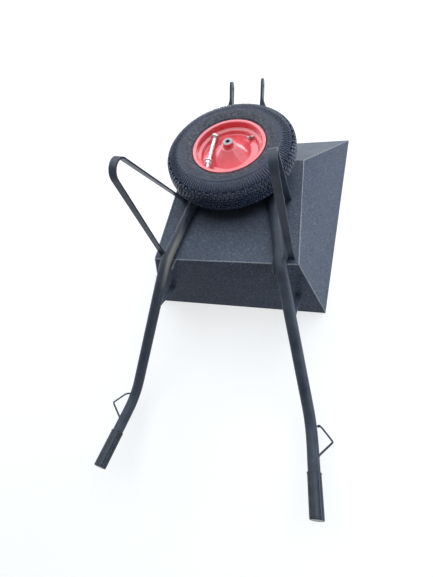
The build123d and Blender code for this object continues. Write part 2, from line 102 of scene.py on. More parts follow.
# how near a vertex is to count as touching a level, and as the same corner as another
LEVEL_REACH = 0.0005
TUBE_REACH = 0.0004
HUB_REACH = 0.0015
SAME_CORNER = 0.001
TREAD_COUNT = 96
TREAD_DEPTH = 0.0050
TREAD_BEVEL = 0.0008
TREAD_SLANT = 0.0016
TREAD_JITTER = 0.0005
BLOCK_SINK = 0.0004
RIB_COUNT = 144
RIB_HEIGHT = 0.0025
# heights on the tyre's outer section, as shares of its half width
TREAD_EDGE_SHARE = 0.56
SHOULDER_SHARE = 0.78
LIP_SHARE = 0.725
# distances from the tyre's crown, along its outer section
LUG_END = 0.0375
RIB_START = 0.0385
RIB_END = 0.0730
# the raised line by the rim: its distance before the section's end, and half its width
LINE_SETBACK = 0.006
LINE_HALF = 0.0016
TREAD_WALL = 0.0110
SIDE_WALL = 0.0062
BEAD_LIP_DROP = 0.0155
BEAD_SEAT_DROP = 0.0132
THREAD_PITCH = 0.00195
THREAD_DEPTH = 0.0006
THREAD_LENGTH = 0.104
THREAD_TIP = 0.0012
THREAD_SIDES = 32
HEX_STEPS = 48
HEX_FACE = 0.81
HEX_DROP = 0.5
NUT_BORE_GAP = 0.00005

chance = random.Random(7)


# ---------------------------------------------------------------- camera, lamps, floor
def add_camera():
    """Camera at the viewing angle, rolled about its own line of sight."""
    data = bpy.data.cameras.new("camera")
    data.sensor_width = 36.0
    data.lens = CAMERA_LENS
    data.shift_x, data.shift_y = CAMERA_SHIFT
    data.clip_start = 0.05
    camera = bpy.data.objects.new("camera", data)
    bpy.context.scene.collection.objects.link(camera)
    flat = math.cos(CAMERA_ELEVATION)
    look = Vector((
        -math.sin(CAMERA_AZIMUTH) * flat,
        math.cos(CAMERA_AZIMUTH) * flat,
        -math.sin(CAMERA_ELEVATION),
    ))
    camera.rotation_mode = "QUATERNION"
    level = look.to_track_quat("-Z", "Y")
    camera.rotation_quaternion = level @ Quaternion((0, 0, 1), CAMERA_ROLL)
    camera.location = CAMERA_PLACE
    bpy.context.scene.camera = camera


def seen_ray(tree):
    """1 for a ray that sees its target: from the camera, a mirror or a glass."""
    path = tree.nodes.new("ShaderNodeLightPath")
    total = path.outputs["Is Camera Ray"]
    for kind in ("Is Glossy Ray", "Is Transmission Ray"):
        either = tree.nodes.new("ShaderNodeMath")
        either.operation = "MAXIMUM"
        tree.links.new(total, either.inputs[0])
        tree.links.new(path.outputs[kind], either.inputs[1])
        total = either.outputs[0]
    return total


def add_world():
    """Even pale light, seen as white by the camera, in mirrors and through glass."""
    world = bpy.data.worlds.new("studio")
    bpy.context.scene.world = world
    world.use_nodes = True
    tree = world.node_tree
    tree.nodes.clear()
    out = tree.nodes.new("ShaderNodeOutputWorld")
    mix = tree.nodes.new("ShaderNodeMixShader")
    tree.links.new(seen_ray(tree), mix.inputs[0])
    for socket, colour, strength in ((1, WORLD_TINT, WORLD_LIGHT), (2, WHITE, 1.0)):
        light = tree.nodes.new("ShaderNodeBackground")
        light.inputs["Color"].default_value = colour
        light.inputs["Strength"].default_value = strength
        tree.links.new(light.outputs[0], mix.inputs[socket])
    tree.links.new(mix.outputs[0], out.inputs["Surface"])


def add_softbox(name, place, target, size, power, colour=(0.90, 0.95, 1.0)):
    """Rectangular lamp aimed at a target, unseen by the camera."""
    data = bpy.data.lights.new(name, "AREA")
    data.shape = "RECTANGLE"
    data.size, data.size_y = size
    data.energy = power
    data.color = colour
    lamp = bpy.data.objects.new(name, data)
    bpy.context.scene.collection.objects.link(lamp)
    lamp.location = place
    aim = Vector(target) - Vector(place)
    lamp.rotation_euler = aim.to_track_quat("-Z", "Y").to_euler()
    lamp.visible_camera = False


def add_floor():
    """Pale floor that keeps the shadow, lifted towards white where it is seen."""
    mesh = bpy.data.meshes.new("floor")
    corners = [(x * FLOOR_HALF, y * FLOOR_HALF, 0) for x, y in ((-1, -1), (1, -1), (1, 1), (-1, 1))]
    mesh.from_pydata(corners, [], [(0, 1, 2, 3)])
    floor = bpy.data.objects.new("floor", mesh)
    bpy.context.scene.collection.objects.link(floor)
    finish = Finish("floor_pale")
    finish.set("Base Color", FLOOR_GREY)
    finish.set("Roughness", 0.9)
    finish.set("Specular IOR Level", 0.1)
    away = finish.math("DIVIDE", finish.distance_to((0, 0, 0)), FLOOR_FAR)
    white = finish.steps(away, (FLOOR_NEAR / FLOOR_FAR, FLOOR_LIFT), (1.0, 1.0))
    lift = finish.math("MULTIPLY", seen_ray(finish.tree), white)
    finish.set("Emission Color", WHITE)
    finish.link(lift, finish.shader.inputs["Emission Strength"])
    mesh.materials.append(finish.material)


# ---------------------------------------------------------------- materials
class Finish:
    """One node material, with short calls for its noise, colour and bump."""

    def __init__(self, name):
        self.material = bpy.data.materials.new(name)
        self.material.use_nodes = True
        self.tree = self.material.node_tree
        self.shader = self.tree.nodes["Principled BSDF"]
        self.coords = None

    def add(self, kind):
        return self.tree.nodes.new(kind)

    def link(self, start, end):
        self.tree.links.new(start, end)

    def set(self, socket, value):
        self.shader.inputs[socket].default_value = value

    def place(self):
        """The piece's own coordinates, in metres."""
        if self.coords is None:
            self.coords = self.add("ShaderNodeTexCoord").outputs["Object"]
        return self.coords

    def stretched(self, scale):
        """The piece's coordinates scaled unevenly, for drawn lines."""
        mapping = self.add("ShaderNodeMapping")
        mapping.inputs["Scale"].default_value = scale
        self.link(self.place(), mapping.inputs["Vector"])
        return mapping.outputs[0]

    def noise(self, size, detail=4.0, rough=0.55, vector=None):
        """Noise whose lumps are about the given size."""
        node = self.add("ShaderNodeTexNoise")
        node.inputs["Scale"].default_value = 1 / size
        node.inputs["Detail"].default_value = detail
        node.inputs["Roughness"].default_value = rough
        self.link(vector or self.place(), node.inputs["Vector"])
        return node.outputs["Fac"]

    def flecks(self, size):
        """Cells of about the given size, each with a random value."""
        node = self.add("ShaderNodeTexVoronoi")
        node.inputs["Scale"].default_value = 1 / size
        self.link(self.place(), node.inputs["Vector"])
        return node.outputs["Color"]

    def radius_about(self, centre):
        """Distance from the upright line through a centre."""
        shift = self.add("ShaderNodeMapping")
        shift.inputs["Location"].default_value = (-centre.x, -centre.y, 0)
        shift.inputs["Scale"].default_value = (1, 1, 0)
        self.link(self.place(), shift.inputs["Vector"])
        size = self.add("ShaderNodeVectorMath")
        size.operation = "LENGTH"
        self.link(shift.outputs[0], size.inputs[0])
        return size.outputs["Value"]

    def distance_to(self, point):
        """Distance from a point."""
        away = self.add("ShaderNodeVectorMath")
        away.operation = "DISTANCE"
        self.link(self.place(), away.inputs[0])
        away.inputs[1].default_value = point
        return away.outputs["Value"]

    def facing(self, direction):
        """1 where the surface faces along a direction, 0 from about 50 degrees off it."""
        dot = self.add("ShaderNodeVectorMath")
        dot.operation = "DOT_PRODUCT"
        self.link(self.add("ShaderNodeNewGeometry").outputs["Normal"], dot.inputs[0])
        dot.inputs[1].default_value = direction
        return self.steps(dot.outputs["Value"], (0.65, 0.0), (0.92, 1.0))

    def steps(self, value, *stops):
        """Colours or greys placed along a value from 0 to 1."""
        ramp = self.add("ShaderNodeValToRGB")
        elements = ramp.color_ramp.elements
        while len(elements) < len(stops):
            elements.new(0.5)
        for element, (position, colour) in zip(elements, stops):
            element.position = position
            if isinstance(colour, (int, float)):
                colour = (colour, colour, colour)
            element.color = (*colour, 1)
        self.link(value, ramp.inputs[0])
        return ramp.outputs[0]

    def mix(self, share, first, second, how="MIX"):
        """Two colours mixed; each value is a socket or a constant."""
        node = self.add("ShaderNodeMix")
        node.data_type = "RGBA"
        node.blend_type = how
        for value, socket in ((share, 0), (first, 6), (second, 7)):
            if isinstance(value, bpy.types.NodeSocket):
                self.link(value, node.inputs[socket])
            elif socket == 0:
                node.inputs[socket].default_value = value
            else:
                node.inputs[socket].default_value = (*value, 1)
        return node.outputs[2]

    def math(self, how, first, second):
        """Arithmetic on two values, each a socket or a number."""
        node = self.add("ShaderNodeMath")
        node.operation = how
        for value, socket in ((first, 0), (second, 1)):
            if isinstance(value, bpy.types.NodeSocket):
                self.link(value, node.inputs[socket])
            else:
                node.inputs[socket].default_value = value
        return node.outputs[0]

    def edges(self, width):
        """1 where the surface turns sharply within the width, 0 on flats."""
        bevel = self.add("ShaderNodeBevel")
        bevel.samples = 6
        bevel.inputs["Radius"].default_value = width
        plain = self.add("ShaderNodeNewGeometry")
        dot = self.add("ShaderNodeVectorMath")
        dot.operation = "DOT_PRODUCT"
        self.link(bevel.outputs[0], dot.inputs[0])
        self.link(plain.outputs["Normal"], dot.inputs[1])
        turned = self.math("SUBTRACT", 1.0, dot.outputs["Value"])
        return self.steps(turned, (0.02, 0.0), (0.16, 1.0))

    def patched(self, base, colour, mask, *stops):
        """The base with a colour laid over it in the patches that stops pick from a mask."""
        return self.mix(self.steps(mask, *stops), base, colour)

    def edge_wear_and_glint(self, base, colour, width, share):
        """The base changed to a colour along edges: rubbed wear on painted steel, and a painted highlight on
        the tyre, the grips and the rim.
        """
        return self.mix(self.math("MULTIPLY", self.edges(width), share), base, colour)

    def colour(self, source):
        self.link(source, self.shader.inputs["Base Color"])

    def gloss(self, source):
        self.link(source, self.shader.inputs["Roughness"])

    def bumps(self, *layers):
        """Layers of (height, strength, distance), the coarsest first."""
        normal = None
        for height, strength, distance in layers:
            node = self.add("ShaderNodeBump")
            node.inputs["Strength"].default_value = strength
            node.inputs["Distance"].default_value = distance
            self.link(height, node.inputs["Height"])
            if normal is not None:
                self.link(normal, node.inputs["Normal"])
            normal = node.outputs[0]
        self.link(normal, self.shader.inputs["Normal"])


def tray_paint():
    """Satin paint over rough sheet: speckle, pale flecks that also stand for glints, clouds, scuffs, a
    painted top light on faces turned upwards, rubbed-through edges.
    """
    finish = Finish("tray_paint")
    grain = finish.noise(0.0028, 4.0, 0.75)
    cloud = finish.noise(0.09, 5.0, 0.6)
    base = finish.steps(grain, (0.38, (0.026, 0.034, 0.053)), (0.62, (0.092, 0.115, 0.165)))
    # pale flecks: the paint's speckle, made pale enough to stand also for painted glints on the rough paint
    base = finish.patched(base, (0.20, 0.24, 0.30), finish.flecks(0.0024), (0.62, 0.0), (0.78, 0.45))
    tone = finish.steps(cloud, (0.30, 0.80), (0.70, 1.15))
    base = finish.mix(1.0, base, tone, "MULTIPLY")
    mottle = finish.steps(finish.noise(0.0075, 3.0, 0.6), (0.36, 0.72), (0.64, 1.22))
    base = finish.mix(1.0, base, mottle, "MULTIPLY")
    scuffs = finish.noise(0.012, 6.0, 0.75)
    base = finish.patched(base, (0.19, 0.215, 0.25), scuffs, (0.60, 0.0), (0.76, 0.40))
    # painted top light: faces turned upwards are mixed towards a paler grey, standing for the light that
    # falls on them from above
    painted_top_light = finish.math("MULTIPLY", finish.facing((0.0, 0.0, 1.0)), 0.30)
    base = finish.mix(painted_top_light, base, (0.15, 0.165, 0.19))
    finish.colour(finish.edge_wear_and_glint(base, (0.26, 0.28, 0.31), 0.0016, finish.noise(0.012, 4.0, 0.7)))
    finish.gloss(finish.steps(cloud, (0.3, 0.36), (0.7, 0.50)))
    finish.set("Specular IOR Level", 0.06)
    finish.bumps((finish.noise(0.05, 3.0), 0.25, 0.004), (grain, 0.7, 0.0010))
    return finish.material


def frame_paint():
    """Semi-gloss paint on tube: slight orange peel, pale rubs, a tan patch near the tyre that is partly
    paint rubbed through to steel and partly a painted highlight, rubbed-through edges.
    """
    finish = Finish("frame_paint")
    peel = finish.noise(0.0030, 3.0, 0.6)
    cloud = finish.noise(0.06, 4.0, 0.6)
    base = finish.steps(cloud, (0.3, (0.018, 0.025, 0.038)), (0.7, (0.050, 0.062, 0.084)))
    rubs = finish.noise(0.006, 6.0, 0.8)
    base = finish.patched(base, (0.11, 0.13, 0.165), rubs, (0.60, 0.0), (0.74, 0.5))
    # tan patch by the tyre on the side facing the right-hand light: partly paint rubbed through to steel,
    # partly a painted highlight
    ragged = finish.math("ADD", finish.distance_to(TAN_RUB_AND_HIGHLIGHT_PLACE), finish.math("MULTIPLY", peel, 0.03))
    near = finish.steps(ragged, (0.060, 1.0), (0.120, 0.0))
    tan_rub_and_highlight = finish.math("MULTIPLY", near, finish.facing((0.93, 0.0, 0.36)))
    base = finish.mix(finish.math("MULTIPLY", tan_rub_and_highlight, 0.8), base, (0.30, 0.28, 0.24))
    finish.colour(finish.edge_wear_and_glint(base, (0.22, 0.24, 0.27), 0.0010, finish.noise(0.010, 4.0, 0.7)))
    finish.gloss(finish.steps(cloud, (0.3, 0.34), (0.7, 0.44)))
    finish.set("Specular IOR Level", 0.22)
    finish.bumps((cloud, 0.15, 0.002), (peel, 0.25, 0.0004))
    return finish.material


def bar_paint():
    """The frame's paint, darker, on flat bar: satin, with faint clouds and rubbed edges."""
    finish = Finish("bar_paint")
    cloud = finish.noise(0.05, 5.0, 0.6)
    grain = finish.noise(0.0030, 3.0, 0.6)
    base = finish.steps(cloud, (0.3, (0.014, 0.020, 0.035)), (0.7, (0.032, 0.044, 0.070)))
    rubs = finish.noise(0.008, 6.0, 0.8)
    base = finish.patched(base, (0.10, 0.12, 0.155), rubs, (0.60, 0.0), (0.76, 0.5))
    finish.colour(finish.edge_wear_and_glint(base, (0.24, 0.27, 0.31), 0.0010, finish.noise(0.010, 4.0, 0.7)))
    finish.gloss(finish.steps(cloud, (0.3, 0.28), (0.7, 0.42)))
    finish.set("Specular IOR Level", 0.3)
    finish.bumps((cloud, 0.15, 0.002), (grain, 0.3, 0.0004))
    return finish.material


def bead_paint():
    """Paint over weld bead: the tray's colour mixed with a grain of paler specks, a painted highlight on the
    seam.
    """
    finish = Finish("bead_paint")
    grain = finish.noise(0.0024, 4.0, 0.7)
    # the paler grain is a painted highlight along the seams, over the tray's colour
    finish.colour(finish.steps(grain, (0.38, (0.080, 0.092, 0.115)), (0.62, (0.340, 0.360, 0.395))))
    finish.gloss(finish.steps(grain, (0.3, 0.25), (0.7, 0.45)))
    finish.bumps((grain, 0.6, 0.0006))
    return finish.material


def grip_rubber():
    """Glossy moulded rubber with a fine pebble and a painted bluish highlight along its edges."""
    finish = Finish("grip_rubber")
    cloud = finish.noise(0.02, 4.0, 0.6)
    base = finish.steps(cloud, (0.3, (0.008, 0.012, 0.020)), (0.75, (0.026, 0.036, 0.054)))
    # painted highlight: a pale blue laid along the edges stands for light caught on the glossy flutes
    finish.colour(finish.edge_wear_and_glint(base, (0.20, 0.24, 0.30), 0.0008, 0.7))
    finish.gloss(finish.steps(cloud, (0.3, 0.16), (0.7, 0.30)))
    finish.set("Specular IOR Level", 0.25)
    finish.bumps((finish.noise(0.0012, 2.0), 0.3, 0.0003))
    return finish.material


def tyre_rubber():
    """Moulded tyre rubber: glossy blue-black out on the ribs and tread, dusty grey by the rim, with painted
    pale blue glints along the edges of blocks and ribs.
    """
    finish = Finish("tyre_rubber")
    fine = finish.noise(0.0034, 4.0, 0.75)
    cloud = finish.noise(0.030, 5.0, 0.6)
    base = finish.steps(cloud, (0.28, (0.004, 0.008, 0.022)), (0.72, (0.016, 0.031, 0.072)))
    bloom = finish.noise(0.007, 6.0, 0.75)
    base = finish.patched(base, (0.055, 0.073, 0.125), bloom, (0.54, 0.0), (0.74, 0.55))
    coarse = finish.noise(0.0090, 6.0, 0.85)
    specks = finish.steps(coarse, (0.43, (0.005, 0.007, 0.012)), (0.60, (0.130, 0.136, 0.156)))
    specks = finish.patched(specks, (0.008, 0.010, 0.016), finish.flecks(0.0060), (0.74, 0.0), (0.84, 0.8))
    out = finish.math("DIVIDE", finish.radius_about(TYRE_CENTRE), TYRE_RADIUS)
    ragged = finish.math("ADD", out, finish.math("MULTIPLY", finish.noise(0.012, 4.0, 0.7), 0.06))
    dusty = finish.steps(ragged, (0.670, 0.75), (0.800, 0.0))
    base = finish.mix(dusty, base, specks)
    # painted glints: a pale blue laid along the edges of blocks and ribs stands for light caught on them,
    # patchy after a fine noise
    glint_share = finish.steps(fine, (0.40, 0.25), (0.62, 1.0))
    finish.colour(finish.edge_wear_and_glint(base, (0.34, 0.39, 0.48), 0.0007, glint_share))
    sheen = finish.steps(cloud, (0.3, 0.14), (0.7, 0.28))
    finish.gloss(finish.mix(dusty, sheen, (0.48, 0.48, 0.48)))
    finish.set("Specular IOR Level", 0.24)
    finish.bumps((finish.noise(0.006, 3.0), 0.2, 0.001), (fine, 0.5, 0.0004))
    return finish.material


def tube_rubber():
    """Soft matt rubber of the inner tube, dusted with talc."""
    finish = Finish("tube_rubber")
    talc = finish.noise(0.015, 5.0, 0.7)
    finish.colour(finish.steps(talc, (0.4, (0.02, 0.02, 0.022)), (0.8, (0.16, 0.16, 0.16))))
    finish.gloss(finish.steps(talc, (0.3, 0.5), (0.7, 0.8)))
    finish.bumps((finish.noise(0.002), 0.2, 0.0003))
    return finish.material


def rim_paint():
    """Gloss red paint with orange peel, faint clouds, a few dull specks and a painted pink highlight along
    its edges.
    """
    finish = Finish("rim_paint")
    cloud = finish.noise(0.045, 4.0, 0.6)
    base = finish.steps(cloud, (0.3, (0.76, 0.060, 0.082)), (0.7, (0.88, 0.115, 0.145)))
    specks = finish.noise(0.003, 6.0, 0.8)
    base = finish.patched(base, (0.55, 0.14, 0.15), specks, (0.66, 0.0), (0.74, 0.6))
    # painted highlight: a paler pink laid along the edges stands for light caught on them
    finish.colour(finish.edge_wear_and_glint(base, (0.85, 0.22, 0.24), 0.0009, 0.5))
    finish.gloss(finish.steps(cloud, (0.3, 0.26), (0.7, 0.42)))
    finish.set("Coat Weight", 1.0)
    finish.set("Coat Roughness", 0.05)
    finish.bumps((cloud, 0.1, 0.002), (finish.noise(0.0035, 2.0), 0.16, 0.0005))
    return finish.material


def zinc_plate():
    """Bright zinc plate: bluish and yellowish clouds, drawn lines along the shank."""
    finish = Finish("zinc_plate")
    cloud = finish.noise(0.010, 4.0, 0.6)
    lines = finish.noise(0.0006, 3.0, 0.6, finish.stretched((1, 0.08, 1)))
    tint = finish.steps(
        cloud, (0.3, (0.62, 0.66, 0.74)), (0.55, (0.80, 0.80, 0.80)), (0.75, (0.78, 0.75, 0.66)),
    )
    finish.colour(finish.mix(0.35, tint, finish.steps(lines, (0.3, 0.35), (0.7, 0.95)), "MULTIPLY"))
    finish.set("Metallic", 0.9)
    finish.gloss(finish.steps(lines, (0.3, 0.18), (0.7, 0.38)))
    finish.bumps((lines, 0.2, 0.0002))
    return finish.material


def filmed_steel(name, dark, light, metallic, smooth, rough):
    """Ground steel under a film of grease or oil, with fine turning marks."""
    finish = Finish(name)
    film = finish.noise(0.004, 5.0, 0.7)
    finish.colour(finish.steps(film, (0.35, dark), (0.65, light)))
    finish.set("Metallic", metallic)
    finish.gloss(finish.steps(film, (0.3, smooth), (0.7, rough)))
    finish.bumps((finish.noise(0.0007, 2.0), 0.15, 0.0001))
    return finish.material


def bearing_steel():
    """Steel of the bearings, with a little grease."""
    return filmed_steel("bearing_steel", (0.15, 0.155, 0.17), (0.34, 0.35, 0.37), 0.95, 0.30, 0.52)


def oiled_steel():
    """Dark oily steel, for the spacer down in the bore."""
    return filmed_steel("oiled_steel", (0.020, 0.020, 0.022), (0.060, 0.058, 0.055), 0.8, 0.35, 0.60)


def valve_metal():
    """Nickelled brass, dulled in patches."""
    finish = Finish("valve_metal")
    patch = finish.noise(0.003, 4.0, 0.7)
    finish.colour(finish.steps(patch, (0.35, (0.34, 0.32, 0.29)), (0.7, (0.60, 0.59, 0.57))))
    finish.set("Metallic", 0.9)
    finish.gloss(finish.steps(patch, (0.3, 0.24), (0.7, 0.45)))
    finish.bumps((finish.noise(0.0006, 2.0), 0.2, 0.0001))
    return finish.material


# a finish is named after the record's material slot, or after what it is for
FINISHES = {
    make.__name__: make()
    for make in (
        tray_paint, frame_paint, grip_rubber, tyre_rubber, tube_rubber,
        rim_paint, zinc_plate, bearing_steel, oiled_steel, valve_metal, bead_paint, bar_paint,
    )
}

# nodes whose look differs from the rest of their slot
NODE_FINISHES = {
    "axle_spacer": "oiled_steel",
    "left_brace": "tray_paint",
    "right_brace": "tray_paint",
    "left_leg": "bar_paint",
    "right_leg": "bar_paint",
}


def dress_nodes():
    """Gives every CAD node the finish that its row in the record names, or its own."""
    for row in frame["record"]["subparts"]:
        mesh = NODES[row["node"]].data
        mesh.materials.clear()
        mesh.materials.append(FINISHES[NODE_FINISHES.get(row["node"], row["material_slot"])])


# ---------------------------------------------------------------- building pieces
def add_piece(name, vertices, faces, slot, body, smooth_below=None, finish=None):
    """A mesh piece that rides on a body and wears a slot's finish, or a finish near to it."""
    mesh = bpy.data.meshes.new(name)
    mesh.from_pydata(vertices, [], faces)
    mesh.validate()
    mesh.update()
    piece = bpy.data.objects.new(name, mesh)
    bpy.context.scene.collection.objects.link(piece)
    mesh.materials.append(FINISHES[finish or slot])
    if smooth_below is not None:
        mesh.shade_smooth()
        mesh.set_sharp_from_angle(angle=math.radians(smooth_below))
    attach(piece, body)
    return piece


def corner(node, direction):
    """The node's vertex that lies furthest along a direction."""
    aim = Vector(direction)
    return max((v.co for v in NODES[node].data.vertices), key=lambda co: co.dot(aim)).copy()


def joined_rings(ring_count, ring_size, closed_along=False, first=0):
    """Quads between neighbouring rings of vertices."""
    faces = []
    last = ring_count if closed_along else ring_count - 1
    for ring in range(last):
        here = first + ring * ring_size
        there = first + (ring + 1) % ring_count * ring_size
        for k in range(ring_size):
            n = (k + 1) % ring_size
            faces.append((here + k, there + k, there + n, here + n))
    return faces


# ---------------------------------------------------------------- weld beads
def bead_route(points, closed):
    """Even steps along straight runs between points."""
    route = []
    stops = points + points[:1] if closed else points
    for start, end in zip(stops, stops[1:]):
        count = max(2, round((end - start).length / BEAD_STEP))
        route += [start.lerp(end, k / count) for k in range(count)]
    if not closed:
        route.append(stops[-1])
    return route


def weld_bead(name, points, radius, slot, body, closed=False, finish=None):
    """Rippled bead laid along a line of points; half of it sinks into what it joins."""
    route = bead_route(points, closed)
    count = len(route)
    vertices = []
    wander = 0.0
    for k, centre in enumerate(route):
        before = route[k - 1] if k or closed else route[0]
        after = route[(k + 1) % count] if k + 1 < count or closed else route[-1]
        along = (after - before).normalized()
        side = along.orthogonal().normalized()
        up = along.cross(side)
        ripple = abs(math.sin(math.pi * k * BEAD_STEP / BEAD_RIPPLE))
        wander = 0.85 * wander + 0.15 * chance.uniform(-1, 1)
        size = radius * (0.78 + 0.22 * ripple + 0.45 * wander)
        if not closed:
            size *= min(1.0, 0.35 + 0.25 * min(k, count - 1 - k))
        middle = centre + side * radius * 0.35 * wander
        for j in range(BEAD_SIDES):
            turn = 2 * math.pi * j / BEAD_SIDES
            vertices.append(middle + (side * math.cos(turn) + up * math.sin(turn)) * size)
    faces = joined_rings(count, BEAD_SIDES, closed)
    if not closed:
        faces.append(tuple(range(BEAD_SIDES)))
        faces.append(tuple(reversed(range((count - 1) * BEAD_SIDES, count * BEAD_SIDES))))
    return add_piece(name, vertices, faces, slot, body, 50, finish)


def frame_weld(name, points, radius, closed=True):
    """Bead on the frame, in the frame's paint."""
    weld_bead(name, points, radius, "frame_paint", "barrow", closed)


def tray_seam(name, start, end, radius=SEAM_RADIUS):
    """Straight bead on the tray, in paint with paler specks than the tray's, which paint a highlight along
    the seam.
    """
    weld_bead(name, [start, end], radius, "tray_paint", "barrow", finish="bead_paint")


def tray_seams():
    """Beads along the tray's corners, where its panels are welded edge to edge."""
    top = {(x, y): corner("tray_bottom", (x, y, 3)) for x in (-1, 1) for y in (-1, 1)}
    rim = {(x, -1): corner("tray_rear_wall", (x, 0, -3)) for x in (-1, 1)}
    rim.update({(x, 1): corner("tray_front_wall", (x, 1, -3)) for x in (-1, 1)})
    tray_seam("seam_rear", top[-1, -1], top[1, -1])
    tray_seam("seam_front", top[-1, 1], top[1, 1])
    for x, side in ((-1, "left"), (1, "right")):
        tray_seam(f"seam_{side}", top[x, -1], top[x, 1])
        for y, end in ((-1, "rear"), (1, "front")):
            low = rim[x, y].lerp(top[x, y], 0.02)
            tray_seam(f"seam_{end}_{side}_corner", top[x, y], low, SEAM_RADIUS * 0.8)


def in_order(points, across, up):
    """Points in order round their middle, without those that repeat a corner."""
    middle = sum(points, Vector()) / len(points)
    points = sorted(points, key=lambda p: math.atan2((p - middle).dot(up), (p - middle).dot(across)))
    kept = []
    for p in points:
        if not kept or (p - kept[-1]).length > SAME_CORNER:
            kept.append(p)
    return kept


def foot_loop(node, wanted):
    """Corners of a foot's level outline, in order round it."""
    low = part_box(node)[0].z
    points = [v.co.copy() for v in NODES[node].data.vertices if v.co.z < low + LEVEL_REACH]
    return in_order([p for p in points if wanted(p)], Vector((1, 0, 0)), Vector((0, 1, 0)))


def end_loop(node, direction, share):
    """Corners in the last share of a bar along a direction, in order round it."""
    aim = Vector(direction).normalized()
    points = [v.co.copy() for v in NODES[node].data.vertices]
    reach = [p.dot(aim) for p in points]
    limit = max(reach) - share * (max(reach) - min(reach))
    across = aim.orthogonal().normalized()
    return in_order([p for p, far in zip(points, reach) if far > limit], across, aim.cross(across))


def leg_welds():
    """A bead round each foot of each leg."""
    for side in ("left", "right"):
        node = f"{side}_leg"
        low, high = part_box(node)
        split = (low.y + high.y) / 2
        for end, wanted in (("rear", lambda p: p.y < split), ("front", lambda p: p.y > split)):
            frame_weld(f"{side}_leg_{end}_weld", foot_loop(node, wanted), FOOT_BEAD_RADIUS)


def small_welds():
    """Beads round the ends of the braces and the rope hooks."""
    for side in ("left", "right"):
        for node, name, direction, share, radius in (
            ("brace", "brace_wall", (0, 1, 0), 0.1, BRACE_BEAD_RADIUS),
            ("brace", "brace_tube", (0, -1, 0), 0.1, BRACE_BEAD_RADIUS),
            ("rope_hook", "hook_front", (0, 0, -1), 0.06, HOOK_BEAD_RADIUS),
            ("rope_hook", "hook_rear", (0, -1, 0), 0.06, HOOK_BEAD_RADIUS),
        ):
            frame_weld(f"{side}_{name}_weld", end_loop(f"{side}_{node}", direction, share), radius)


def tube_welds():
    """Beads on both sides of each tube where it crosses the tray bottom's rear and front edges."""
    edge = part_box("tray_bottom")[1].y
    for side in ("left", "right"):
        touching = [
            v.co for v in NODES[f"{side}_handle_tube"].data.vertices
            if abs(v.co.z - TRAY_TOP) < TUBE_REACH
        ]
        rear = min(touching, key=lambda p: p.y)
        front = max(touching, key=lambda p: p.y)
        along = (front - rear).normalized()
        across = along.cross(Vector((0, 0, 1)))
        lift = Vector((0, 0, TUBE_BEAD_RADIUS * 0.35))
        crossing = rear + along * ((edge - rear.y) / along.y - TUBE_BEAD_LENGTH - 2 * TUBE_BEAD_RADIUS)
        for end, start in (("rear", rear + along * TUBE_BEAD_RADIUS), ("front", crossing)):
            for way, name in ((-1, "outer"), (1, "inner")):
                first = start + across * way * TUBE_BEAD_OFFSET + lift
                ends = [first, first + along * TUBE_BEAD_LENGTH]
                frame_weld(f"{side}_tube_{end}_{name}_weld", ends, TUBE_BEAD_RADIUS, closed=False)


def hub_welds():
    """Painted-over bead where each rim half's dome meets the hub."""
    low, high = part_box("hub_barrel")
    centre = (low + high) / 2
    radius = (high.x - low.x) / 2
    for half, way in (("upper", 1), ("lower", -1)):
        close = [
            v.co.z for v in NODES[f"rim_{half}_half"].data.vertices
            if math.hypot(v.co.x - centre.x, v.co.y - centre.y) < radius + HUB_REACH
        ]
        height = max(close) if way > 0 else min(close)
        size = radius + HUB_BEAD_RADIUS * 0.3
        ring = []
        for k in range(HUB_BEAD_STEPS):
            turn = 2 * math.pi * k / HUB_BEAD_STEPS
            ring.append(Vector((centre.x + size * math.cos(turn), centre.y + size * math.sin(turn), height)))
        weld_bead(f"hub_{half}_weld", ring, HUB_BEAD_RADIUS, "rim_paint", "wheel", closed=True)


# ---------------------------------------------------------------- tyre
def arc_through(start, via, end, count):
    """Points on the circle through three (radius, height) points, from start to end."""
    (ax, ay), (bx, by), (cx, cy) = start, via, end
    d = 2 * (ax * (by - cy) + bx * (cy - ay) + cx * (ay - by))
    a2, b2, c2 = ax * ax + ay * ay, bx * bx + by * by, cx * cx + cy * cy
    ux = (a2 * (by - cy) + b2 * (cy - ay) + c2 * (ay - by)) / d
    uy = (a2 * (cx - bx) + b2 * (ax - cx) + c2 * (bx - ax)) / d
    size = math.hypot(ax - ux, ay - uy)
    first = math.atan2(ay - uy, ax - ux)
    middle = math.atan2(by - uy, bx - ux)
    last = math.atan2(cy - uy, cx - ux)
    while middle - first > math.pi:
        middle -= 2 * math.pi
    while middle - first < -math.pi:
        middle += 2 * math.pi
    while (last - first) * (middle - first) < 0 or abs(last - first) < abs(middle - first):
        last += 2 * math.pi if middle > first else -2 * math.pi
    turns = [first + (last - first) * k / count for k in range(count + 1)]
    return [(ux + size * math.cos(t), uy + size * math.sin(t)) for t in turns]


